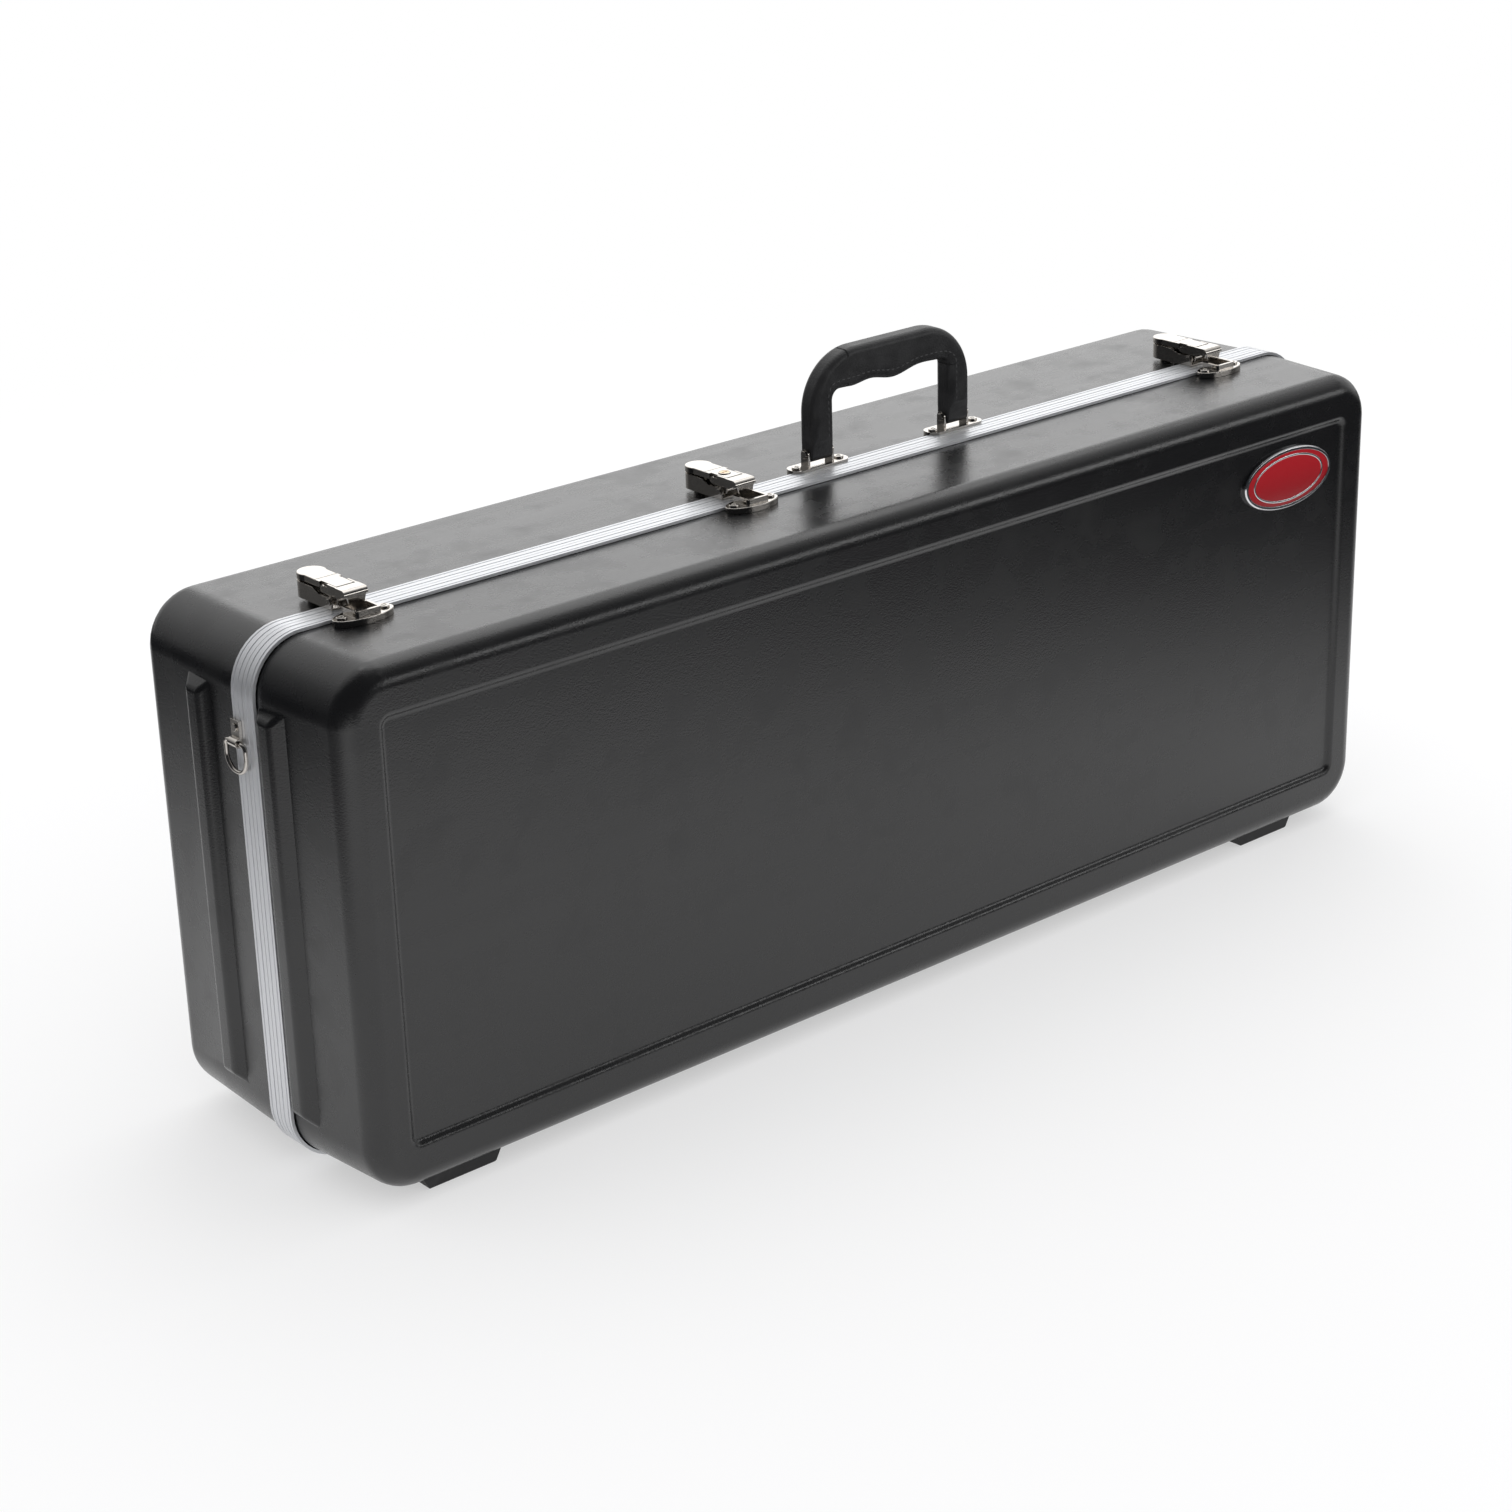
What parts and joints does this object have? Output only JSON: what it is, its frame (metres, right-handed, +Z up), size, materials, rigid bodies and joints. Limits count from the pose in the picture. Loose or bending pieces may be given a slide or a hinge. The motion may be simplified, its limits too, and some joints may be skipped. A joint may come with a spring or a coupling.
{
  "type": "tenor saxophone case",
  "caption": "Long hard case with a hinged lid, aluminium band, draw latches, key lock, carrying handle, strap rings and moulded insert.",
  "frame": {"origin": "middle of the rectangle that the case covers, at the soles of its feet", "axes": "+X along the case, +Z up to the handle; the lid is on the -Y side, the base on the +Y side"},
  "size_m": [0.8708, 0.2, 0.402],
  "materials": {
    "shell_plastic": "black, fine leather grain, soft sheen",
    "valance_aluminium": "satin anodised extrusion",
    "flocked_foam": "black flock over moulded foam",
    "foot_rubber": "matt black",
    "handle_plastic": "black, soft leather grain",
    "nickel_steel": "nickel-plated steel",
    "lock_brass": "worn brass",
    "badge_metal": "bright metal rim",
    "badge_enamel": "clear red dome, plain"
  },
  "bodies": {
    "base": {"base_shell": "shell_plastic", "base_valance": "valance_aluminium", "base_insert": "flocked_foam", "base_foot_left": "foot_rubber", "base_foot_right": "foot_rubber", "base_foot_rivets": "nickel_steel", "base_hinge_leaf_left": "nickel_steel", "base_hinge_leaf_centre": "nickel_steel", "base_hinge_leaf_right": "nickel_steel", "hinge_pins": "nickel_steel", "base_hinge_rivets": "nickel_steel", "latch_plate_left": "nickel_steel", "latch_plate_centre": "nickel_steel", "latch_plate_right": "nickel_steel", "latch_rivets": "nickel_steel", "lever_pins": "nickel_steel", "handle_plate_left": "nickel_steel", "handle_plate_right": "nickel_steel", "handle_rivets": "nickel_steel", "handle_pins": "nickel_steel", "strap_clip_left": "nickel_steel", "strap_clip_right": "nickel_steel", "strap_rivets": "nickel_steel"},
    "lid": {"lid_shell": "shell_plastic", "lid_valance": "valance_aluminium", "lid_insert": "flocked_foam", "lid_foot_left": "foot_rubber", "lid_foot_right": "foot_rubber", "lid_foot_rivets": "nickel_steel", "lid_hinge_leaf_left": "nickel_steel", "lid_hinge_leaf_centre": "nickel_steel", "lid_hinge_leaf_right": "nickel_steel", "lid_hinge_rivets": "nickel_steel", "catch_left": "nickel_steel", "catch_centre": "nickel_steel", "catch_right": "nickel_steel", "catch_rivets": "nickel_steel", "badge_rim": "badge_metal", "badge_dome": "badge_enamel"},
    "lever_left": {"lever_left": "nickel_steel", "claw_pins_left": "nickel_steel"},
    "claw_left": {"claw_left": "nickel_steel"},
    "lever_centre": {"lever_centre": "nickel_steel", "claw_pins_centre": "nickel_steel", "lock_barrel": "nickel_steel"},
    "claw_centre": {"claw_centre": "nickel_steel"},
    "lever_right": {"lever_right": "nickel_steel", "claw_pins_right": "nickel_steel"},
    "claw_right": {"claw_right": "nickel_steel"},
    "lock": {"lock_plug": "lock_brass", "lock_cam": "nickel_steel"},
    "handle": {"handle_grip": "handle_plastic"},
    "strap_ring_left": {"strap_ring_left": "nickel_steel"},
    "strap_ring_right": {"strap_ring_right": "nickel_steel"}
  },
  "joints": [
    {"name": "lid_hinge", "type": "hinge", "parent": "base", "child": "lid", "pos_m": [0, -0.015, 0.0036], "axis": [1, 0, 0], "range_deg": [0, 110]},
    {"name": "lever_left_pivot", "type": "hinge", "parent": "base", "child": "lever_left", "pos_m": [-0.359, -0.0125, 0.335], "axis": [1, 0, 0], "range_deg": [0, 95]},
    {"name": "claw_left_pivot", "type": "hinge", "parent": "lever_left", "child": "claw_left", "pos_m": [-0.359, -0.004, 0.3404], "axis": [1, 0, 0], "range_deg": [-95, 0]},
    {"name": "lever_centre_pivot", "type": "hinge", "parent": "base", "child": "lever_centre", "pos_m": [-0.077, -0.0125, 0.335], "axis": [1, 0, 0], "range_deg": [0, 95]},
    {"name": "claw_centre_pivot", "type": "hinge", "parent": "lever_centre", "child": "claw_centre", "pos_m": [-0.077, -0.004, 0.3404], "axis": [1, 0, 0], "range_deg": [-95, 0]},
    {"name": "lever_right_pivot", "type": "hinge", "parent": "base", "child": "lever_right", "pos_m": [0.343, -0.0125, 0.335], "axis": [1, 0, 0], "range_deg": [0, 95]},
    {"name": "claw_right_pivot", "type": "hinge", "parent": "lever_right", "child": "claw_right", "pos_m": [0.343, -0.004, 0.3404], "axis": [1, 0, 0], "range_deg": [-95, 0]},
    {"name": "lock_turn", "type": "hinge", "parent": "lever_centre", "child": "lock", "pos_m": [-0.077, -0.007, 0.344], "axis": [0, 0, 1], "range_deg": [0, 90]},
    {"name": "handle_pivot", "type": "hinge", "parent": "base", "child": "handle", "pos_m": [0.0615, -0.002, 0.339], "axis": [1, 0, 0], "range_deg": [-80, 80]},
    {"name": "strap_ring_left_swing", "type": "hinge", "parent": "base", "child": "strap_ring_left", "pos_m": [-0.43275, -0.0081, 0.2685], "axis": [0, 1, 0], "range_deg": [0, 150]},
    {"name": "strap_ring_right_swing", "type": "hinge", "parent": "base", "child": "strap_ring_right", "pos_m": [0.43275, -0.0081, 0.2685], "axis": [0, -1, 0], "range_deg": [0, 150]}
  ],
  "couplings": [
    {"joint": "claw_left_pivot", "follows": "lever_left_pivot", "ratio": -1},
    {"joint": "claw_centre_pivot", "follows": "lever_centre_pivot", "ratio": -1},
    {"joint": "claw_right_pivot", "follows": "lever_right_pivot", "ratio": -1}
  ]
}
